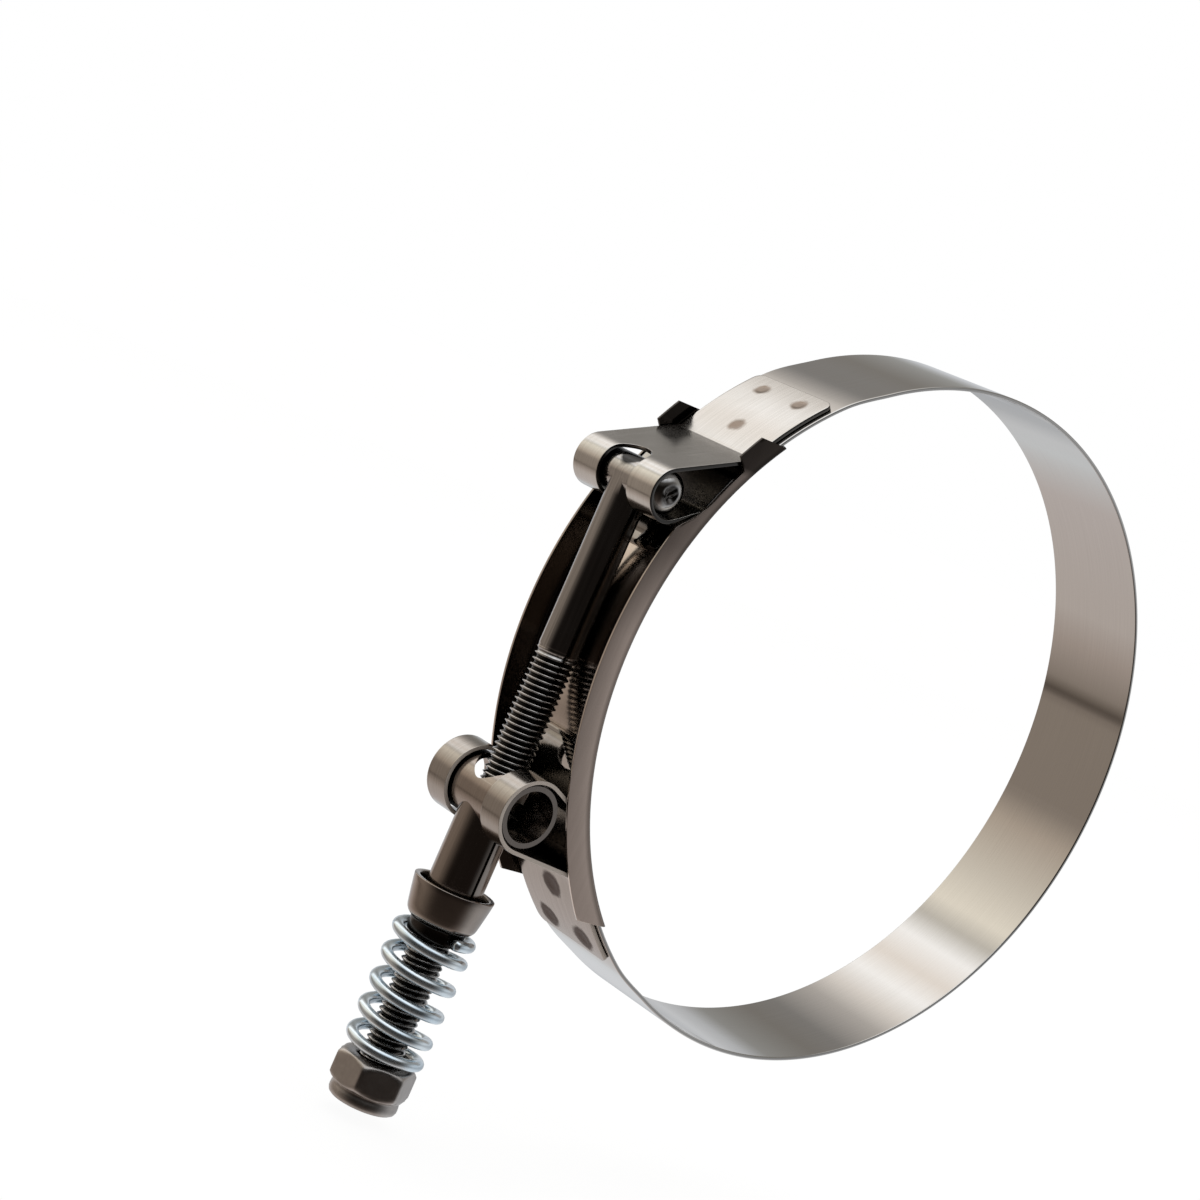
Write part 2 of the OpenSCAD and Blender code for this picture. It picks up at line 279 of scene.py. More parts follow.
def spread(first, last, pieces):
    return [first + (last - first) * i / pieces for i in range(pieces + 1)]


def sheet_between(vertices, faces, rows):
    start = len(vertices)
    width = len(rows[0])
    for row in rows:
        vertices.extend(row)
    for i in range(len(rows) - 1):
        for k in range(width - 1):
            a = start + i * width + k
            faces.append((a, a + 1, a + width + 1, a + width))


def wall_y(r):
    middle = (floor_r + WALL_TOP) / 2
    return WALL_Y - WALL_BOW * ((r - middle) / (WALL_TOP - middle)) ** 2


heights = (spread(bridge_low, notch_low, 60) + spread(notch_low, notch_high, 14)[1:]
           + spread(notch_high, bridge_top, 4)[1:])
fold_y = wall_y(floor_r + FOLD_R) - FOLD_R
profile = [(-wall_y(NOTCH_TOP), NOTCH_TOP)]
for step in range(5):
    a = math.radians(180 + 22.5 * step)
    profile.append((-fold_y + FOLD_R * math.cos(a), floor_r + FOLD_R + FOLD_R * math.sin(a)))
profile += [(y, floor_r) for y in spread(-fold_y, fold_y, 8)[1:-1]]
profile += [(-y, r) for y, r in reversed(profile[:6])]
vertices = []
faces = []
sheet_between(vertices, faces, [[on_bridge(r, y, z) for y, r in profile] for z in heights])
wall_line = [(bridge_low, WALL_TOP), (notch_low + 0.1, WALL_TOP), (notch_low + 2.2, NOTCH_TOP + 1.0),
             (notch_low + 4.8, DIP_TOP), (notch_high - 1.8, DIP_TOP), (notch_high - 0.02, WALL_TOP),
             (bridge_top, WALL_TOP)]
for side in (-1, 1):
    wall = [[on_bridge(r, side * wall_y(r), z) for r in spread(NOTCH_TOP, between(z, wall_line), 4)]
            for z in heights]
    sheet_between(vertices, faces, wall)
bridge = make_piece("channel_bridge", vertices, faces)


def round_edges(piece, width, angle):
    rim = piece.modifiers.new("rounded_edges", "BEVEL")
    rim.width = width * MM
    rim.segments = 2
    rim.limit_method = "ANGLE"
    rim.angle_limit = math.radians(angle)
    keep_flats(piece)


def thicken(piece, thickness, edge):
    skin = piece.modifiers.new("thickness", "SOLIDIFY")
    skin.thickness = thickness * MM
    skin.offset = 0.0
    skin.use_even_offset = True
    skin.use_quality_normals = True
    round_edges(piece, edge, 50)


thicken(bridge, BRIDGE_T, BRIDGE_EDGE)


def off_axis(tree, place, across, centre):
    flat = add(tree, "ShaderNodeVectorMath", {0: place}, operation="MULTIPLY_ADD",
               inputs={1: across, 2: [-c * MM for c in centre]})
    return add(tree, "ShaderNodeVectorMath", {0: flat.outputs[0]}, operation="LENGTH").outputs["Value"]


# Stainless strip as it comes from the press: duller than the band, with a brownish cast and
# faint draw lines along the walls, drawn 1.1 mm wide so that they show. Its floor keeps its
# full tone. The insides of the walls and the folds get painted shade, and painted shade on the
# walls grows towards the head end and thins out down them. The ears are painted near black.
bridge_steel, tree, shader, place, tone_and_recess_shade = steel("pressed_stainless_channel", None, (1.111, 1.111, 25.0),
                                                 ("#dcd2ca", "#e6dcd4"), (0.13, 0.2), 0.006, (1.0, 0.8))
parts = add(tree, "ShaderNodeSeparateXYZ", {0: place})
surface = add(tree, "ShaderNodeNewGeometry")
normal = add(tree, "ShaderNodeSeparateXYZ", {0: surface.outputs["True Normal"]})
# Painted shade: faces that turn in towards the band, the insides of the walls, are darkened.
faces_out = add(tree, "ShaderNodeMath", {0: parts.outputs["Y"], 1: normal.outputs["Y"]},
                operation="MULTIPLY")
which = add(tree, "ShaderNodeMapRange", {"Value": faces_out.outputs[0]},
            inputs={"From Min": -WALL_Y * MM, "From Max": WALL_Y * MM})
inner_wall_shade = add(tree, "ShaderNodeValToRGB", {"Fac": which.outputs[0]})
set_ramp(inner_wall_shade, [(0.15, "#5c5855"), (0.4, "#ffffff"), (0.6, "#ffffff"), (0.9, "#fff2ea")])
inner_shaded = add(tree, "ShaderNodeMixRGB", {"Color1": tone_and_recess_shade.outputs["Color"], "Color2": inner_wall_shade.outputs["Color"]},
             blend_type="MULTIPLY", inputs={"Fac": 1.0})
# Painted shade along the folds at the foot of the walls.
fold_shade = add(tree, "ShaderNodeMapRange", {"Value": off_axis(tree, place, (1, 0, 1), (0, 0, 0))},
                inputs={"From Min": (BORE_R + 0.2) * MM, "From Max": (BORE_R + 1.3) * MM,
                        "To Min": 0.12, "To Max": 1.0})
off_middle = add(tree, "ShaderNodeMath", {0: parts.outputs["Y"]}, operation="ABSOLUTE")
at_side = add(tree, "ShaderNodeMapRange", {"Value": off_middle.outputs[0]},
              inputs={"From Min": (WALL_Y - 0.6) * MM, "From Max": (WALL_Y - 0.3) * MM})
fold_shaded = add(tree, "ShaderNodeMixRGB", {"Fac": at_side.outputs[0], "Color1": inner_shaded.outputs["Color"],
                                        "Color2": fold_shade.outputs[0]}, blend_type="MULTIPLY")
# The ears are painted near black.
ear = add(tree, "ShaderNodeMapRange", {"Value": parts.outputs["Z"]},
          inputs={"From Min": 26.5 * MM, "From Max": 30.0 * MM, "To Min": 0.0, "To Max": 0.93})
# Painted shade on the walls, growing towards the head end.
up_wall = add(tree, "ShaderNodeMapRange", {"Value": parts.outputs["Z"]},
              inputs={"From Min": 1.0 * MM, "From Max": 16.0 * MM, "To Min": 0.0, "To Max": 0.6})
wall_top_shade = add(tree, "ShaderNodeMath", {0: up_wall.outputs[0], 1: at_side.outputs[0]}, operation="MULTIPLY")
dark_ears_and_wall_shade = add(tree, "ShaderNodeMath", {0: ear.outputs[0], 1: wall_top_shade.outputs[0]}, operation="MAXIMUM")
black = add(tree, "ShaderNodeMixRGB", {"Fac": dark_ears_and_wall_shade.outputs[0], "Color1": fold_shaded.outputs["Color"]},
            inputs={"Color2": srgb("#221e1b")})
tree.links.new(black.outputs["Color"], shader.inputs["Base Color"])
bridge.data.materials.append(bridge_steel)
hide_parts("bridge")
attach(bridge, "ring")

# Saddles: straps of 0.6 mm bright stainless folded round the two pivots. The long end is
# spot-welded on the band, the short end comes back under it, and a slot in the loop lets
# the bolt or the trunnion's leg through.
STRAP_T = 0.6
STRAP_EDGE = 0.13
PIVOT_GAP = 0.4
SLOT_GAP = 0.5
TAIL_W = 17.4
TAIL_CORNER = 1.4
SHOULDER = 0.4
BEND_REACH = 5.0
RETURN_AT = 1.8
RETURN_LEN = 6.5
WELDS = ((3.1, 4.3), (3.1, -4.3), (11.5, 0.0))
WELD_R = 1.3
WELD_SLOPE = 0.7
WELD_DEEP = 0.08
STEP = 0.12
BOLT_R = 6.35 / 2
GUIDE_R = BOLT_R + 0.3
LEG_R = GUIDE_R + 0.8
TUBE_R = 4.8


def touch(point, centre, radius, side):
    v = centre - point
    reach = math.sqrt(v.length_squared - radius * radius)
    a = math.atan2(v.y, v.x) + side * math.asin(radius / v.length)
    return point + Vector((math.cos(a), math.sin(a))) * reach


def polar(radius, degrees):
    a = math.radians(degrees)
    return Vector((radius * math.cos(a), radius * math.sin(a)))


def bow(centre, radius, first, last, pieces):
    return [centre + polar(radius, a) for a in spread(first, last, pieces)]


def resample(points, gap):
    lengths = [0.0]
    for p, q in zip(points, points[1:]):
        lengths.append(lengths[-1] + (q - p).length)
    count = round(lengths[-1] / gap)
    result = []
    k = 0
    for i in range(count + 1):
        s = lengths[-1] * i / count
        while k < len(points) - 2 and lengths[k + 1] < s:
            k += 1
        t = (s - lengths[k]) / max(lengths[k + 1] - lengths[k], 1e-9)
        result.append(points[k].lerp(points[k + 1], t))
    return result


def eased(points, rounds):
    for _ in range(rounds):
        inner = [before * 0.25 + p * 0.5 + after * 0.25
                 for before, p, after in zip(points, points[1:], points[2:])]
        points = [points[0]] + inner + [points[-1]]
    return points


def dented(p, along, y, flip):
    near = min(math.hypot(along - a, y - side) for a, side in WELDS)
    deep = WELD_DEEP * smooth(part_way(near, WELD_R, WELD_R - WELD_SLOPE))
    at = p - p.normalized() * deep
    return (at.x, y, flip * at.y)


def strap(name, pivot, loop_r, slot_w, plate_slot, return_slot, flip, bend_rounds):
    angle = math.degrees(math.atan2(pivot.y, pivot.x))
    bend = angle - arc(STRAP_REACH, STRAP_R)
    back = angle - arc(RETURN_AT, STRAP_R)
    middle_r = STRAP_R + STRAP_T / 2
    loop_middle = loop_r - STRAP_T / 2
    top = touch(polar(middle_r, bend), pivot, loop_middle, -1)
    low = touch(polar(middle_r, back), pivot, loop_middle, 1)
    top_angle = math.degrees(math.atan2(*(top - pivot).yx))
    low_angle = 360 + math.degrees(math.atan2(*(low - pivot).yx))
    ring_centre = Vector((0, 0))
    line = (bow(ring_centre, middle_r, bend - arc(TAIL_LEN, STRAP_R), bend, 60)
            + bow(pivot, loop_middle, top_angle, low_angle, 90)
            + bow(ring_centre, middle_r, back, back - arc(RETURN_LEN, STRAP_R), 24))
    line = eased(resample(line, STEP), 12)
    first = round((TAIL_LEN - BEND_REACH) / STEP)
    last = round((TAIL_LEN + BEND_REACH) / STEP)
    line[first:last] = eased(line[first:last], bend_rounds)
    plate_end = pivot.x + plate_slot
    return_end = pivot.x + return_slot

    def slot_half(p):
        end = plate_end if p.y >= pivot.y else return_end
        into = end - p.x
        half = slot_w / 2
        if into <= 0:
            return 0.0
        return half if into >= half else math.sqrt(half * half - (half - into) ** 2)

    gap = sum((q - p).length for p, q in zip(line, line[1:])) / (len(line) - 1)
    halves = {1: [], -1: []}
    for i, p in enumerate(line):
        s = i * gap
        reach = TAIL_W / 2
        if s < TAIL_CORNER:
            reach = TAIL_W / 2 - TAIL_CORNER + math.sqrt(TAIL_CORNER ** 2 - (TAIL_CORNER - s) ** 2)
        reach += (BAND_W - TAIL_W) / 2 * smooth(part_way(s, TAIL_LEN - SHOULDER, TAIL_LEN + SHOULDER))
        for side, rows in halves.items():
            rows.append([dented(p, s, side * y, flip) for y in spread(slot_half(p), reach, 24)])
    vertices = []
    faces = []
    for rows in halves.values():
        sheet_between(vertices, faces, rows)
    made = make_piece(name, vertices, faces)
    thicken(made, STRAP_T, STRAP_EDGE)
    return made


upper = strap("bolt_strap", Vector((BOLT_X, HEAD_Z)), BOLT_R + PIVOT_GAP + STRAP_T,
              2 * (BOLT_R + SLOT_GAP), SLOT_GAP / 2, BOLT_R + 2 * SLOT_GAP, 1, 0)
lower = strap("trunnion_strap", Vector((BOLT_X, -TRUNNION_Z)), TUBE_R + PIVOT_GAP + STRAP_T,
              2 * (LEG_R + SLOT_GAP), LEG_R + 3 * SLOT_GAP, BOLT_R + 2 * SLOT_GAP, -1, 200)


# Bright-annealed stainless strip: clean and glossy, with fine draw lines along the strap, drawn
# 0.3 mm apart so that they show. Each spot weld leaves a ragged brown heat tint, on the lower
# strap a matt oxide. The upper strap's sheared edges are painted dark, as painted shade; the
# lower one's are pale and matt.
RAGGED = 2.0


def strap_steel(name, bend, flip, tones, burn, weld_r, oxide, edge_tone_and_shade, torn):
    material, tree, shader, place, tone_and_recess_shade = steel(name, None, (16.667, 0.2857, 16.667), tones, (0.14, 0.24),
                                                 0.004, (7.0, 0.02))
    cloud = add(tree, "ShaderNodeTexNoise", {"Vector": place},
                inputs={"Scale": per_metre(RAGGED), "Detail": 3.0})
    near = None
    for along_tail, side in WELDS:
        spot = polar(STRAP_R + STRAP_T, bend - arc(TAIL_LEN - along_tail, STRAP_R))
        centre = (spot.x * MM, side * MM, flip * spot.y * MM)
        away = add(tree, "ShaderNodeVectorMath", {0: place}, operation="DISTANCE",
                   inputs={1: centre}).outputs["Value"]
        if near is None:
            near = away
        else:
            near = add(tree, "ShaderNodeMath", {0: near, 1: away}, operation="MINIMUM").outputs[0]
    ragged = add(tree, "ShaderNodeMath", {0: cloud.outputs["Fac"], 2: near}, operation="MULTIPLY_ADD",
                 inputs={1: 1.2 * MM})
    tint = add(tree, "ShaderNodeMapRange", {"Value": ragged.outputs[0]}, interpolation_type="SMOOTHSTEP",
               inputs={"From Min": weld_r * MM, "From Max": (weld_r + 0.9) * MM,
                       "To Min": 0.95, "To Max": 0.0})
    burnt = add(tree, "ShaderNodeMixRGB", {"Fac": tint.outputs[0], "Color1": tone_and_recess_shade.outputs["Color"]},
                inputs={"Color2": srgb(burn)})
    surface = add(tree, "ShaderNodeNewGeometry")
    normal = add(tree, "ShaderNodeSeparateXYZ", {0: surface.outputs["True Normal"]})
    across = add(tree, "ShaderNodeMath", {0: normal.outputs["Y"]}, operation="ABSOLUTE")
    sheared = add(tree, "ShaderNodeMapRange", {"Value": across.outputs[0]},
                  inputs={"From Min": 0.6, "From Max": 0.9, "To Min": 0.0, "To Max": 0.85})
    # On the upper strap this paints shade, near black, on the sheared edges.
    edge = add(tree, "ShaderNodeMixRGB", {"Fac": sheared.outputs[0], "Color1": burnt.outputs["Color"]},
               inputs={"Color2": srgb(edge_tone_and_shade)})
    tree.links.new(edge.outputs["Color"], shader.inputs["Base Color"])
    scale = add(tree, "ShaderNodeMath", {0: tint.outputs[0]}, operation="MULTIPLY", inputs={1: oxide})
    matt = add(tree, "ShaderNodeMath", {0: sheared.outputs[0], 2: scale.outputs[0]}, operation="MULTIPLY_ADD",
               inputs={1: torn})
    bare = add(tree, "ShaderNodeMath", {1: matt.outputs[0]}, operation="SUBTRACT", inputs={0: 1.0})
    tree.links.new(bare.outputs[0], shader.inputs["Metallic"])
    gloss = shader.inputs["Roughness"].links[0].from_socket
    crust = add(tree, "ShaderNodeMath", {0: matt.outputs[0], 2: gloss}, operation="MULTIPLY_ADD",
                inputs={1: 0.4})
    tree.links.new(crust.outputs[0], shader.inputs["Roughness"])
    return material


upper.data.materials.append(strap_steel("bright_annealed_strap_upper", head_bend, 1, ("#c3c0bb", "#cfccc8"),
                                        "#85776b", 1.4, 0.0, "#2a2623", 0.0))
lower.data.materials.append(strap_steel("bright_annealed_strap_lower", hub_bend, -1, ("#a8a29c", "#b4aea8"),
                                        "#432a1b", 2.4, 0.85, "#b3a89e", 0.9))
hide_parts("bolt_saddle")
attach(upper, "ring")
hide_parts("trunnion_saddle")
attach(lower, "low_end")

# T-bolt: a quarter-inch stainless bolt with 28 threads to the inch, rolled from the end up
# to the middle of the ring. Its head is a cross bar that turns in the upper saddle. It ends
# just below the nut, so the stack of cup, spring and nut is worked out here.
PITCH = 25.4 / 28
THREAD_DEPTH = 0.52
THREAD_TOP = -5.5
THREAD_COLUMNS = 48
ROWS_PER_TURN = 10
TIP = 0.7
LEG_LEN = 19.9
CUP_BASE = 0.9
REST_GAP = 0.1
SPRING_LEN = 21.6
HEX_H = 5.0
COLLAR_H = 2.2
cup_floor = TRUNNION_Z - LEG_LEN
SPRING_TOP = cup_floor - CUP_BASE - REST_GAP
NUT_TOP = SPRING_TOP - SPRING_LEN - REST_GAP
NUT_END = NUT_TOP - HEX_H - COLLAR_H
bolt_end = NUT_END - 0.2
plain_from = THREAD_TOP + 1.5


def lathe(profile, columns):
    vertices = []
    for r, z in profile:
        for k in range(columns):
            a = 2 * math.pi * k / columns
            vertices.append((r * math.cos(a), r * math.sin(a), z))
    return vertices, ring_faces(len(profile), columns)


def thread_share(phase):
    wave = abs((phase % 1.0) * 2 - 1)
    return part_way(wave, 0.08, 0.92)


rows = spread(bolt_end, plain_from, round((plain_from - bolt_end) / PITCH * ROWS_PER_TURN))
rows += spread(plain_from, HEAD_Z, 8)[1:]
vertices = []
for z in rows:
    depth = THREAD_DEPTH * between(z, [(THREAD_TOP - 1.2, 1.0), (THREAD_TOP + 0.6, 0.0)])
    point = max(0.0, TIP - (z - bolt_end))
    for k in range(THREAD_COLUMNS):
        a = 2 * math.pi * k / THREAD_COLUMNS
        r = min(BOLT_R - depth * thread_share(z / PITCH - k / THREAD_COLUMNS), BOLT_R - point)
        vertices.append((BOLT_X + r * math.cos(a), r * math.sin(a), z))
faces = ring_faces(len(rows), THREAD_COLUMNS) + end_faces(len(rows), THREAD_COLUMNS)
bolt = make_piece("threaded_t_bolt", vertices, faces)

# The cross bar's ends are domes with a shallow, torn hollow in the middle.
HOLLOW_R = 1.25
HOLLOW_DEEP = 0.35
DOME_R = 3.17
DOME_DROP = 1.15
TORN_R = 1.5
bar_half = BAND_W / 2 - SLOT_GAP
bar_rim = bar_half - 0.15
hollow = [(HOLLOW_R * i / 5, bar_rim - HOLLOW_DEEP + HOLLOW_DEEP * (i / 5) ** 2) for i in range(6)]
dome = [(HOLLOW_R + (DOME_R - HOLLOW_R) * i / 12, bar_rim - DOME_DROP * (i / 12) ** 2) for i in range(1, 13)]
side_profile = hollow + dome + [(BOLT_R, bar_half - 1.5)]
bar_profile = [(r, -y) for r, y in side_profile] + [(r, y) for r, y in reversed(side_profile)]
bar_vertices, bar_faces = lathe(bar_profile, 64)
vertices = []
for x, y, z in bar_vertices:
    torn = part_way(math.hypot(x, y), TORN_R, 0.0) * math.copysign(1.0, z)
    waves = 0.35 * math.sin(2.1 * x + 0.9) * math.sin(2.6 * y + 0.4) + 0.12 * math.sin(5.3 * x - 4.1 * y)
    vertices.append((BOLT_X + x, z + torn * waves, HEAD_Z + y))
cross_bar = make_piece("cross_bar", vertices, bar_faces)
forged = bolt.modifiers.new("forged_head", "BOOLEAN")
forged.operation = "UNION"
forged.solver = "EXACT"
forged.object = cross_bar
joined = bpy.data.meshes.new_from_object(bolt.evaluated_get(bpy.context.evaluated_depsgraph_get()))
bolt.modifiers.clear()
bolt.data = joined
bpy.data.objects.remove(cross_bar)
body = bmesh.new()
body.from_mesh(joined)
for corner in body.edges:
    on_head = all(v.co.z > (THREAD_TOP + 2) * MM for v in corner.verts)
    corner.smooth = not (on_head and corner.calc_face_angle(0) > math.radians(35))
body.to_mesh(joined)
body.free()
joined.polygons.foreach_set("use_smooth", [True] * len(joined.polygons))
keep_flats(bolt)

# Drawn stainless bar with a rolled thread: painted shade, near black, in the thread's roots,
# bright crests, and faint scratches along the shank, drawn 0.4 mm wide so that they show. The
# middles of the cross bar's ends, over their torn hollows, are painted near black.
bolt_steel, tree, shader, place, tone_and_recess_shade = steel("drawn_stainless_bar", None, (0.4, 0.4, 16.667),
                                               ("#a4a19e", "#c3c0bd"), (0.1, 0.18), 0.006, (1.6, 0.0))
parts = add(tree, "ShaderNodeSeparateXYZ", {0: place})
across = add(tree, "ShaderNodeMath", {0: parts.outputs["Y"]}, operation="ABSOLUTE")
# The middles of the cross bar's ends are painted near black.
cut_end = add(tree, "ShaderNodeMapRange", {"Value": across.outputs[0]},
              inputs={"From Min": (bar_half - 1.6) * MM, "From Max": (bar_half - 1.4) * MM,
                      "To Min": 0.0, "To Max": 0.9})
in_hollow = add(tree, "ShaderNodeMapRange", {"Value": off_axis(tree, place, (1, 0, 1), (BOLT_X, 0, HEAD_Z))},
                inputs={"From Min": 1.2 * MM, "From Max": 1.6 * MM, "To Min": 1.0, "To Max": 0.0})
torn = add(tree, "ShaderNodeMath", {0: cut_end.outputs[0], 1: in_hollow.outputs[0]}, operation="MULTIPLY")
sheared = add(tree, "ShaderNodeMixRGB", {"Fac": torn.outputs[0], "Color1": tone_and_recess_shade.outputs["Color"]},
              inputs={"Color2": srgb("#2f2b29")})
# Painted shade, near black, in the thread's roots.
root = add(tree, "ShaderNodeMapRange", {"Value": off_axis(tree, place, (1, 1, 0), (BOLT_X, 0, 0))},
           inputs={"From Min": (BOLT_R - 0.45) * MM, "From Max": (BOLT_R - 0.1) * MM,
                   "To Min": 0.05, "To Max": 1.0})
above_tip = add(tree, "ShaderNodeMapRange", {"Value": parts.outputs["Z"]},
                inputs={"From Min": (bolt_end + 0.6) * MM, "From Max": (bolt_end + 0.9) * MM})
thread_root_shade = add(tree, "ShaderNodeMixRGB", {"Fac": above_tip.outputs[0], "Color1": sheared.outputs["Color"],
                                         "Color2": root.outputs[0]}, blend_type="MULTIPLY")
tree.links.new(thread_root_shade.outputs["Color"], shader.inputs["Base Color"])
bolt.data.materials.append(bolt_steel)
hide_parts("t_bolt")
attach(bolt, "bolt")

# Trunnion: a T-shaped tube rolled from 0.8 mm stainless sheet. The cross tube turns in the
# lower saddle, and the leg below it, with a seam along each side, guides the bolt. Its form is
# the frame's, with a fillet where the leg meets the tube and softer edges.
TRUNNION_EDGE = 0.14
FILLET_R = 1.1
ON_SURFACE = 0.03
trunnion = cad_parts["trunnion"].copy()
trunnion.data = trunnion.data.copy()
trunnion.name = "rolled_trunnion"
trunnion.parent = None
trunnion.matrix_world = Matrix.Identity(4)
bpy.context.scene.collection.objects.link(trunnion)
body = bmesh.new()
body.from_mesh(trunnion.data)
bmesh.ops.remove_doubles(body, verts=body.verts, dist=2e-6)
bmesh.ops.dissolve_limit(body, angle_limit=math.radians(1), verts=body.verts, edges=body.edges)
bmesh.ops.recalc_face_normals(body, faces=body.faces)
weight = body.edges.layers.float.new("bevel_weight_edge")
for corner in body.edges:
    corner.smooth = True
    places = [v.co / MM - Vector((BOLT_X, 0, TRUNNION_Z)) for v in corner.verts]
    off_leg = [math.hypot(at.x, at.y) - LEG_R for at in places]
    off_tube = [math.hypot(at.x, at.z) - TUBE_R for at in places]
    on_both = all(abs(d) < ON_SURFACE for d in off_leg + off_tube)
    corner[weight] = 1.0 if on_both else 0.0
body.to_mesh(trunnion.data)
body.free()
trunnion.data.polygons.foreach_set("use_smooth", [True] * len(trunnion.data.polygons))
trunnion.data.materials.clear()
fillet = trunnion.modifiers.new("formed_fillet", "BEVEL")
fillet.width = FILLET_R * MM
fillet.segments = 5
fillet.limit_method = "WEIGHT"
round_edges(trunnion, TRUNNION_EDGE, 40)

# Rolled stainless sheet, dull and brownish from forming, with draw lines down the leg, drawn
# 0.25 mm apart so that they show.
trunnion_steel = steel("formed_stainless_sheet", None, (0.25, 0.25, 6.25), ("#9d938b", "#a89e96"),
                       (0.14, 0.22), 0.004, (6.0, 0.03))[0]
trunnion.data.materials.append(trunnion_steel)
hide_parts("trunnion")
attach(trunnion, "trunnion")

# Spring cup: a tapered cup drawn from the same sheet. It sits on the end of the leg, its
# base carries the spring, and its short neck keeps the spring on the bolt's line.
cup_profile = [(GUIDE_R, -3.1), (GUIDE_R, 0.0), (LEG_R + 0.3, 0.0), (5.42, 4.85), (5.5, 5.02), (5.62, 5.1),
               (6.2, 5.1), (6.31, 5.06), (6.35, 4.95), (5.55, 0.45), (5.4, 0.0), (5.15, -0.4), (4.85, -0.7),
               (4.5, -0.85), (4.3, -CUP_BASE), (4.3, -2.85), (4.24, -3.02), (4.12, -3.1), (GUIDE_R, -3.1)]
cup_vertices, cup_faces = lathe(cup_profile, 72)
cup = make_piece("drawn_spring_cup", [(BOLT_X + x, y, cup_floor + z) for x, y, z in cup_vertices], cup_faces)
cup.modifiers.new("smooth", "SUBSURF").render_levels = 1

# Drawn stainless: brownish and satin, with smears some 3 mm long, and painted shade, near black, on the neck
# inside the spring.
cup_steel, tree, shader, place, tone_and_recess_shade = steel("drawn_stainless_cup", None, (3.333, 3.333, 3.333),
                                              ("#9b9189", "#a89e96"), (0.16, 0.24), 0.004, (5.0, 0.05))
parts = add(tree, "ShaderNodeSeparateXYZ", {0: place})
# Painted shade on the neck, where it sits inside the spring.
neck = add(tree, "ShaderNodeMapRange", {"Value": parts.outputs["Z"]},
           inputs={"From Min": (cup_floor - 0.9) * MM, "From Max": (cup_floor - 0.6) * MM,
                   "To Min": 0.9, "To Max": 0.0})
shaded_neck = add(tree, "ShaderNodeMixRGB", {"Fac": neck.outputs[0], "Color1": tone_and_recess_shade.outputs["Color"]},
           inputs={"Color2": srgb("#1f1c1b")})
tree.links.new(shaded_neck.outputs["Color"], shader.inputs["Base Color"])
cup.data.materials.append(cup_steel)
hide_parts("spring_cup")
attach(cup, "trunnion")

# Spring: 1.8 mm wire wound left-hand with closed ends, between the cup and the nut.
WIRE_R = 0.9
COIL_OUTSIDE = 12.74
TURNS = 5.35
CLOSE_TOP = 0.7
CLOSE_LOW = 0.6
WIRE_START = -95.0
WIRE_RINGS = 288
WIRE_COLUMNS = 16
coil_r = COIL_OUTSIDE / 2 - WIRE_R
end_pitch = 2 * WIRE_R + REST_GAP
open_turns = TURNS - CLOSE_TOP - CLOSE_LOW
open_pitch = (SPRING_LEN - 2 * WIRE_R - (CLOSE_TOP + CLOSE_LOW) * end_pitch) / open_turns
fall = [(0.0, 0.0), (CLOSE_TOP, CLOSE_TOP * end_pitch),
        (TURNS - CLOSE_LOW, CLOSE_TOP * end_pitch + open_turns * open_pitch),
        (TURNS, SPRING_LEN - 2 * WIRE_R)]


def eased_fall(t):
    return sum(between(max(0.0, min(TURNS, t + d)), fall) for d in (-0.12, -0.06, 0.0, 0.06, 0.12)) / 5


line = []
for i in range(WIRE_RINGS + 1):
    t = TURNS * i / WIRE_RINGS
    a = math.radians(WIRE_START + 360 * t)
    z = SPRING_TOP - WIRE_R - eased_fall(t)
    line.append(Vector((BOLT_X + coil_r * math.cos(a), coil_r * math.sin(a), z)))
sections = []
for i, p in enumerate(line):
    before = line[max(i - 1, 0)]
    after = line[min(i + 1, WIRE_RINGS)]
    ahead = (after - before).normalized()
    out = Vector((p.x - BOLT_X, p.y, 0)).normalized()
    up = ahead.cross(out).normalized()
    out = up.cross(ahead)
    size = WIRE_R * (0.9 if i in (0, WIRE_RINGS) else 1.0)
    turns = [2 * math.pi * k / WIRE_COLUMNS for k in range(WIRE_COLUMNS)]
    sections.append([p + out * size * math.cos(a) + up * size * math.sin(a) for a in turns])
spring = loft("left_hand_spring", sections)

# Zinc-plated spring wire: bright, with a cool bluish passivated film that drifts in colour
# every 4 mm or so.
spring_zinc, _, shader, _, _ = steel("zinc_plated_spring_wire", None, (3.846, 3.846, 3.846),
                                     ("#c8d8e3", "#e8eff2"), (0.13, 0.22), 0.004, (3.0, 0.4))
shader.inputs["Metallic"].default_value = 0.94
spring.data.materials.append(spring_zinc)
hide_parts("spring")
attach(spring, "spring")
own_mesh(spring)

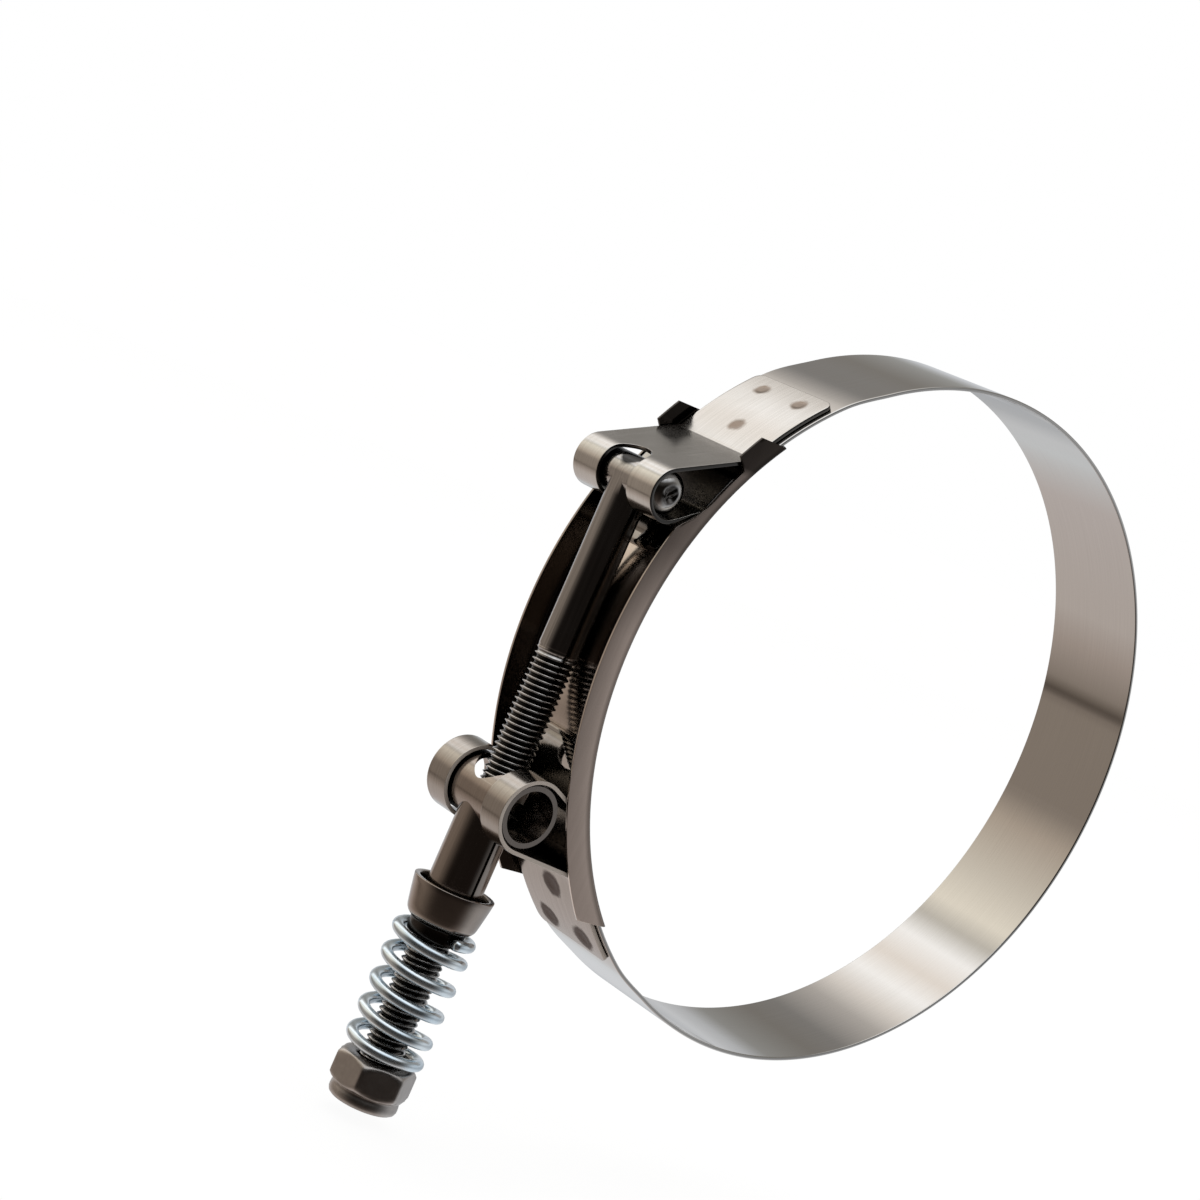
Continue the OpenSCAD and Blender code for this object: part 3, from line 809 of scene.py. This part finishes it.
# Lock nut: a stainless hexagon, 7/16 inch across its flats, with tumbled corners and a round
# collar that is crimped over a nylon ring.
NUT_AF = 11.1
NUT_COLUMNS = 120
COLLAR_R = 5.4
HEX_TURN = 35.0
HEX_FROM = 5.42
HEX_SOFT = 0.12
GROOVE_R = 4.85
nut_profile = [(GUIDE_R + 0.25, 0.55), (GUIDE_R, 0.4), (GUIDE_R, 0.0), (COLLAR_R - 0.95, 0.0),
               (COLLAR_R - 0.55, 0.08), (COLLAR_R - 0.2, 0.32), (COLLAR_R - 0.02, 0.75), (COLLAR_R, 1.1),
               (COLLAR_R - 0.05, 1.7), (COLLAR_R - 0.22, 2.05), (COLLAR_R - 0.12, 2.2), (5.5, 2.32),
               (5.9, 2.6), (6.3, 3.05), (6.6, 3.6), (6.6, 4.7), (6.6, 5.8), (6.3, 6.35), (5.9, 6.8),
               (5.5, 7.05), (5.2, 7.17), (4.9, 7.2), (GUIDE_R + 0.5, 7.2), (GUIDE_R + 0.05, 6.8),
               (GUIDE_R, 6.6), (GUIDE_R, 2.45), (GROOVE_R, 2.45), (GROOVE_R, 0.55),
               (GUIDE_R + 0.25, 0.55)]
vertices = []
for r, z in nut_profile:
    for k in range(NUT_COLUMNS):
        degrees = 360 * k / NUT_COLUMNS
        a = math.radians(degrees)
        flat = NUT_AF / 2 / math.cos(math.radians((degrees - HEX_TURN) % 60 - 30))
        both = r
        if r > HEX_FROM:
            h = part_way(flat - r, -HEX_SOFT, HEX_SOFT)
            both = flat * (1 - h) + r * h - HEX_SOFT * h * (1 - h)
        vertices.append((BOLT_X + both * math.cos(a), both * math.sin(a), NUT_END + z))
nut = make_piece("hexagon_lock_nut", vertices, ring_faces(len(nut_profile), NUT_COLUMNS))

# Tumbled stainless: satin and brownish grey, with a fine grain, drawn 1.1 mm coarse so that it shows.
nut_steel = steel("tumbled_stainless_nut", None, (1.111, 1.111, 1.111), ("#b3ada8", "#c0bab5"), (0.32, 0.42),
                  0.006, (4.0, 0.2))[0]
nut.data.materials.append(nut_steel)
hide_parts("lock_nut")
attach(nut, "nut")

# Nylon ring: moulded from natural nylon, matt and off-white with a faint mottle. It is pressed
# into the collar so that it grips the thread.
MOTTLE = 0.6667
RING_R = 4.8
GRIP_R = GUIDE_R - 0.2
ring_profile = [(GRIP_R, 0.2), (GRIP_R, 2.2), (GUIDE_R, 2.4), (RING_R - 0.1, 2.4), (RING_R, 2.3),
                (RING_R, 0.7), (RING_R - 0.1, 0.6), (GUIDE_R + 0.2, 0.6), (GUIDE_R, 0.45), (GRIP_R, 0.2)]
ring_vertices, nylon_faces = lathe(ring_profile, 64)
nylon = make_piece("nylon_ring", [(BOLT_X + x, y, NUT_END + z) for x, y, z in ring_vertices], nylon_faces)
nylon_white = bpy.data.materials.new("natural_nylon")
nylon_white.use_nodes = True
tree = nylon_white.node_tree
shader = tree.nodes["Principled BSDF"]
place = add(tree, "ShaderNodeTexCoord").outputs["Object"]
grain = add(tree, "ShaderNodeTexNoise", {"Vector": place},
            inputs={"Scale": per_metre(MOTTLE), "Detail": 3.0})
tone = add(tree, "ShaderNodeValToRGB", {"Fac": grain.outputs["Fac"]})
set_ramp(tone, [(0.3, "#dcd8ce"), (0.7, "#ebe8e0")])
tree.links.new(tone.outputs["Color"], shader.inputs["Base Color"])
shader.inputs["Roughness"].default_value = 0.45
nylon.data.materials.append(nylon_white)
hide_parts("nut_insert")
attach(nylon, "nut")

# Floor: a plain sheet of white paper under the clamp. It is white to the camera and keeps
# only a trace of the clamp's shadow.
FLOOR_HALF = 4
FLOOR_Z = bolt_end * MM - 0.002
corners = [(-1, -1), (1, -1), (1, 1), (-1, 1)]
floor_mesh = bpy.data.meshes.new("white_floor")
floor_mesh.from_pydata([(x * FLOOR_HALF, y * FLOOR_HALF, FLOOR_Z) for x, y in corners], [], [(0, 1, 2, 3)])
floor = bpy.data.objects.new("white_floor", floor_mesh)
bpy.context.scene.collection.objects.link(floor)


def seen(tree):
    path = add(tree, "ShaderNodeLightPath")
    share = path.outputs["Is Camera Ray"]
    for kind in ("Is Glossy Ray", "Is Transmission Ray"):
        either = add(tree, "ShaderNodeMath", {0: share, 1: path.outputs[kind]}, operation="MAXIMUM")
        share = either.outputs[0]
    return share


paper = bpy.data.materials.new("white_paper")
paper.use_nodes = True
tree = paper.node_tree
shader = tree.nodes["Principled BSDF"]
shader.inputs["Base Color"].default_value = srgb("#f4f2ef")
shader.inputs["Roughness"].default_value = 0.8
share = add(tree, "ShaderNodeMath", {0: seen(tree)}, operation="MULTIPLY", inputs={1: 0.9})
glow = add(tree, "ShaderNodeEmission", inputs={"Color": (1, 1, 1, 1), "Strength": 1.04})
both = add(tree, "ShaderNodeMixShader", {0: share.outputs[0], 1: shader.outputs[0], 2: glow.outputs[0]})
tree.links.new(both.outputs[0], tree.nodes["Material Output"].inputs["Surface"])
floor_mesh.materials.append(paper)
floor.visible_glossy = False

# Light tent: the soft white and taupe panels that the bright metal mirrors, dark on the side
# where the camera stands. It shows only in reflections.
OPEN_SIDE = (-0.56, -0.827, 0.05)
tent_mesh = bpy.data.meshes.new("light_tent")
tent_form = bmesh.new()
bmesh.ops.create_uvsphere(tent_form, u_segments=64, v_segments=32, radius=1.5)
tent_form.to_mesh(tent_mesh)
tent_form.free()
tent = bpy.data.objects.new("light_tent", tent_mesh)
bpy.context.scene.collection.objects.link(tent)
tent.visible_camera = False
tent.visible_diffuse = False
tent.visible_shadow = False
cloth = bpy.data.materials.new("tent_panels")
cloth.use_nodes = True
tree = cloth.node_tree
tree.nodes.remove(tree.nodes["Principled BSDF"])
place = add(tree, "ShaderNodeTexCoord").outputs["Object"]
toward = add(tree, "ShaderNodeVectorMath", {0: place}, operation="NORMALIZE")
parts = add(tree, "ShaderNodeSeparateXYZ", {0: toward.outputs[0]})
turn = add(tree, "ShaderNodeMath", {0: parts.outputs["Z"], 1: parts.outputs["X"]}, operation="ARCTAN2")
share = add(tree, "ShaderNodeMapRange", {"Value": turn.outputs[0]},
            inputs={"From Min": -math.pi, "From Max": math.pi, "To Min": 0.0, "To Max": 1.0})
behind = add(tree, "ShaderNodeValToRGB", {"Fac": share.outputs[0]})
panel_tones = [
    (6, "#b4b6b9"), (18, "#a9abae"), (28, "#888886"), (48, "#777470"), (60, "#7d7b79"), (76, "#b0aca8"),
    (86, "#e0dbd6"), (96, "#ffffff"), (106, "#ebe4dd"), (117, "#ffffff"), (126, "#c2beb6"),
    (134, "#e8e2d5"), (148, "#d0c9bd"), (168, "#b0a497"), (178, "#887e75"), (211, "#857b72"),
    (214, "#7a7068"), (216, "#4a423c"), (218, "#6a6159"), (221, "#877d75"), (234, "#a1968f"),
    (246, "#b2aaa5"), (292, "#b5aeac"), (316, "#bec1c4"), (326, "#babcbf"), (338, "#a3a5a8"),
    (350, "#989a9d")]
set_ramp(behind, sorted(((degrees + 180) % 360 / 360, colour) for degrees, colour in panel_tones))
level = add(tree, "ShaderNodeMapRange", {"Value": parts.outputs["Z"]},
            inputs={"From Min": -1.0, "From Max": 1.0})
front = add(tree, "ShaderNodeValToRGB", {"Fac": level.outputs[0]})
set_ramp(front, [(0.0, "#4a423d"), (0.35, "#231e1b"), (0.45, "#171412"), (0.62, "#14110f"), (0.75, "#4a4846"),
                 (0.86, "#d3d8de"), (1.0, "#f2f5f8")])
facing = add(tree, "ShaderNodeVectorMath", {0: toward.outputs[0]}, operation="DOT_PRODUCT",
             inputs={1: OPEN_SIDE})
side = add(tree, "ShaderNodeMapRange", {"Value": facing.outputs["Value"]}, interpolation_type="SMOOTHSTEP",
           inputs={"From Min": 0.72, "From Max": -0.2, "To Min": 0.0, "To Max": 1.0})
panels = add(tree, "ShaderNodeMixRGB", {"Fac": side.outputs[0], "Color1": front.outputs["Color"],
                                        "Color2": behind.outputs["Color"]})
panel_glow = add(tree, "ShaderNodeEmission", {"Color": panels.outputs["Color"]}, inputs={"Strength": 1.5})
tree.links.new(panel_glow.outputs[0], tree.nodes["Material Output"].inputs["Surface"])
tent_mesh.materials.append(cloth)

# World: plain white behind the clamp and in its reflections, and an even fill on what is matt.
# One soft light overhead lifts the tops of the pieces.
world = bpy.data.worlds.new("white_studio")
bpy.context.scene.world = world
world.use_nodes = True
tree = world.node_tree
fill = tree.nodes["Background"]
fill.inputs["Color"].default_value = (1, 1, 1, 1)
fill.inputs["Strength"].default_value = 0.7
white = add(tree, "ShaderNodeBackground", inputs={"Color": (1, 1, 1, 1), "Strength": 1.0})
both = add(tree, "ShaderNodeMixShader", {0: seen(tree), 1: fill.outputs[0], 2: white.outputs[0]})
tree.links.new(both.outputs[0], tree.nodes["World Output"].inputs["Surface"])
lamp = bpy.data.lights.new("overhead_softbox", "AREA")
lamp.shape = "SQUARE"
lamp.size = 0.5
lamp.energy = 1.6
overhead = bpy.data.objects.new("overhead_softbox", lamp)
from_above = Vector((0.1, 0.25, 1.0)).normalized()
overhead.location = from_above * 0.9
overhead.rotation_euler = from_above.to_track_quat("Z", "Y").to_euler()
overhead.visible_glossy = False
bpy.context.scene.collection.objects.link(overhead)

# Camera: a long lens, level with the ring and rolled by about 24 degrees. Its place and turn
# are fitted to the ring, the bolt's line and the band's edges.
camera = bpy.data.objects.new("camera", bpy.data.cameras.new("camera"))
bpy.context.scene.collection.objects.link(camera)
camera.data.sensor_width = 36.0
camera.data.lens = 90.53
camera.data.clip_start = 0.01
right = Vector((0.7104, -0.5791, 0.4000))
up = Vector((-0.2552, 0.3177, 0.9132))
back = right.cross(up)
turned = Matrix((right, up, back)).transposed().to_4x4()
camera.matrix_world = Matrix.Translation(Vector((-343.2, -329.5, 38.05)) * MM) @ turned
bpy.context.scene.camera = camera

bpy.context.scene.view_settings.view_transform = "Standard"
